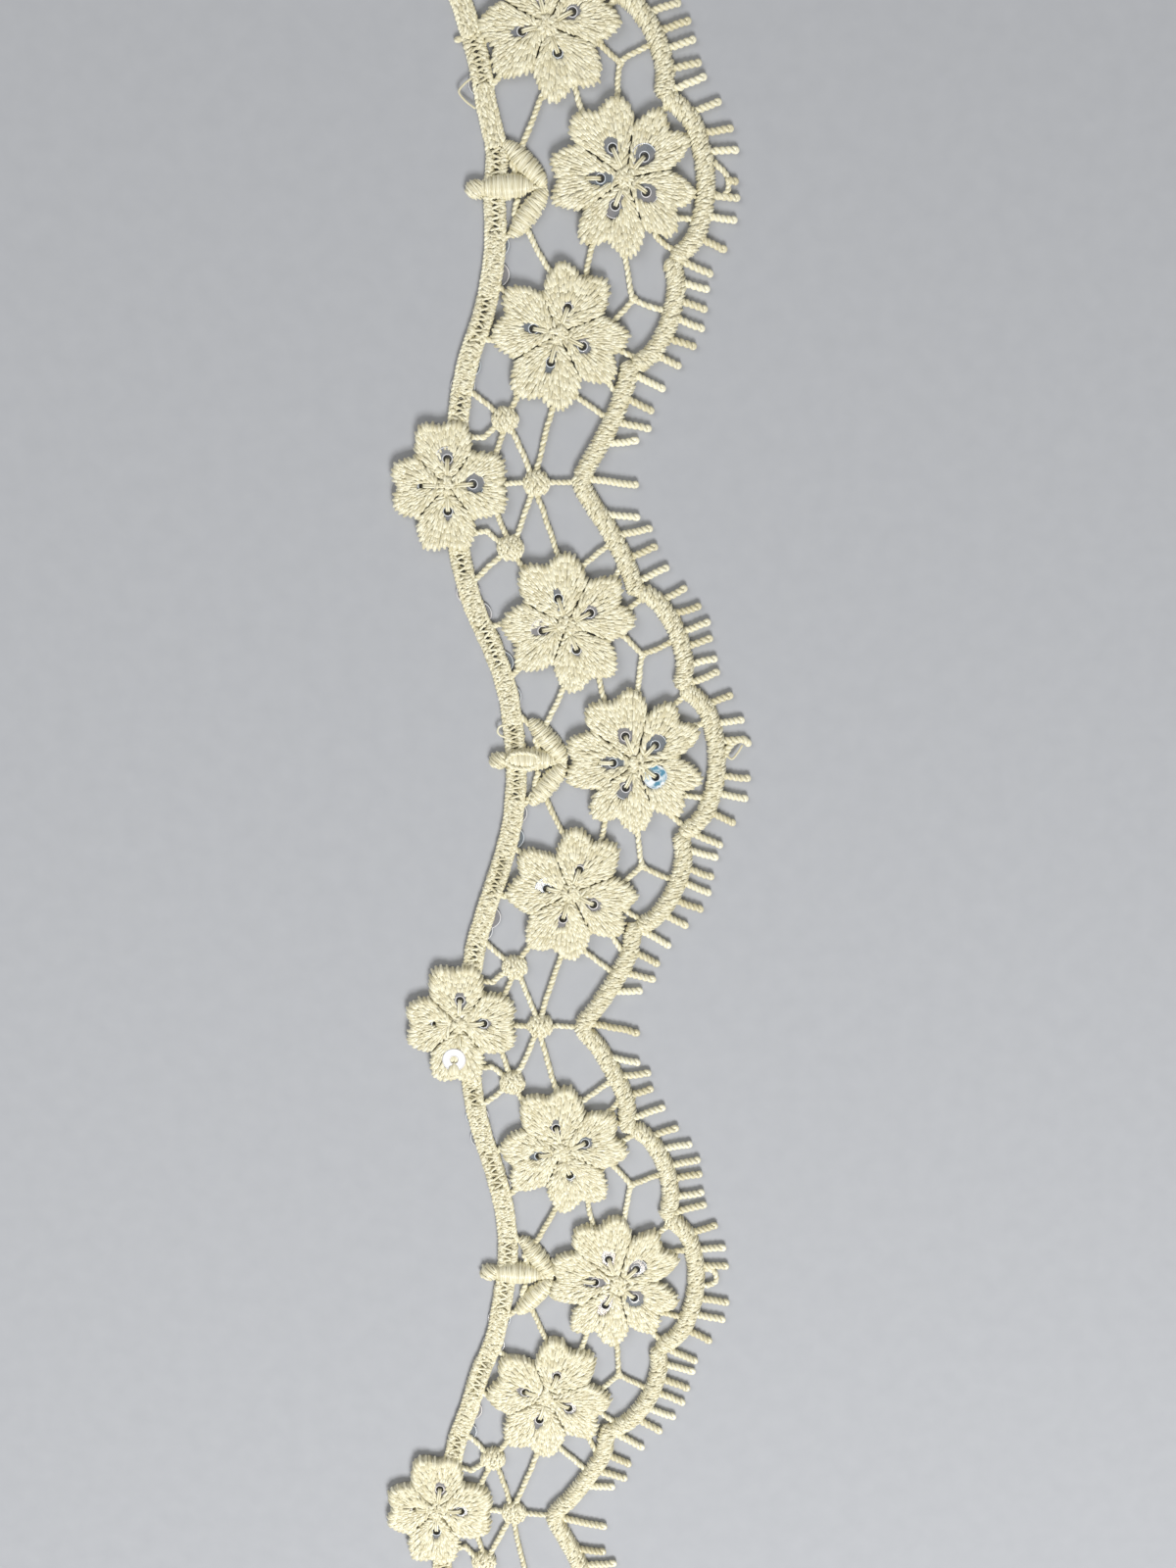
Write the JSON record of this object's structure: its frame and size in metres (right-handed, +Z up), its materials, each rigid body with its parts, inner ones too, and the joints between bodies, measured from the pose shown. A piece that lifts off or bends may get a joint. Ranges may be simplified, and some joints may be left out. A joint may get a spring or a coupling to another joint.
{
  "type": "sequin guipure edging",
  "caption": "Scalloped guipure lace edging lying flat: embroidered flowers with clear sequins in their petals, twisted bars, a braided foot, and a satin cord edge with picots.",
  "frame": {"origin": "middle of the laid strip's outline on the surface it lies on", "axes": "+X from the foot to the picots, +Y along the strip, +Z up from the surface it lies on"},
  "size_m": [0.0466, 0.2118, 0.0017],
  "materials": {
    "thread": "cream rayon embroidery thread with a soft sheen",
    "film": "thin clear film with a faint iridescence"
  },
  "bodies": {
    "root": {"lace": "thread", "sequin_lower1_1": "film", "sequin_lower1_2": "film", "sequin_lower1_3": "film", "sequin_lower1_4": "film", "sequin_lower2_1": "film", "sequin_lower2_2": "film", "sequin_lower2_3": "film", "sequin_lower2_4": "film", "sequin_lower3_1": "film", "sequin_lower3_2": "film", "sequin_lower3_3": "film", "sequin_lower3_4": "film", "sequin_peak1_1": "film", "sequin_peak1_2": "film", "sequin_peak1_3": "film", "sequin_peak1_4": "film", "sequin_peak1_5": "film", "sequin_peak2_1": "film", "sequin_peak2_2": "film", "sequin_peak2_3": "film", "sequin_peak2_4": "film", "sequin_peak2_5": "film", "sequin_peak3_1": "film", "sequin_peak3_2": "film", "sequin_peak3_3": "film", "sequin_peak3_4": "film", "sequin_peak3_5": "film", "sequin_upper1_1": "film", "sequin_upper1_2": "film", "sequin_upper1_3": "film", "sequin_upper1_4": "film", "sequin_upper2_1": "film", "sequin_upper2_2": "film", "sequin_upper2_3": "film", "sequin_upper2_4": "film", "sequin_upper3_1": "film", "sequin_upper3_2": "film", "sequin_upper3_3": "film", "sequin_upper3_4": "film", "sequin_valley1_1": "film", "sequin_valley1_2": "film", "sequin_valley1_3": "film", "sequin_valley1_4": "film", "sequin_valley2_1": "film", "sequin_valley2_2": "film", "sequin_valley2_3": "film", "sequin_valley2_4": "film", "sequin_valley3_1": "film", "sequin_valley3_2": "film", "sequin_valley3_3": "film", "sequin_valley3_4": "film"}
  },
  "joints": []
}
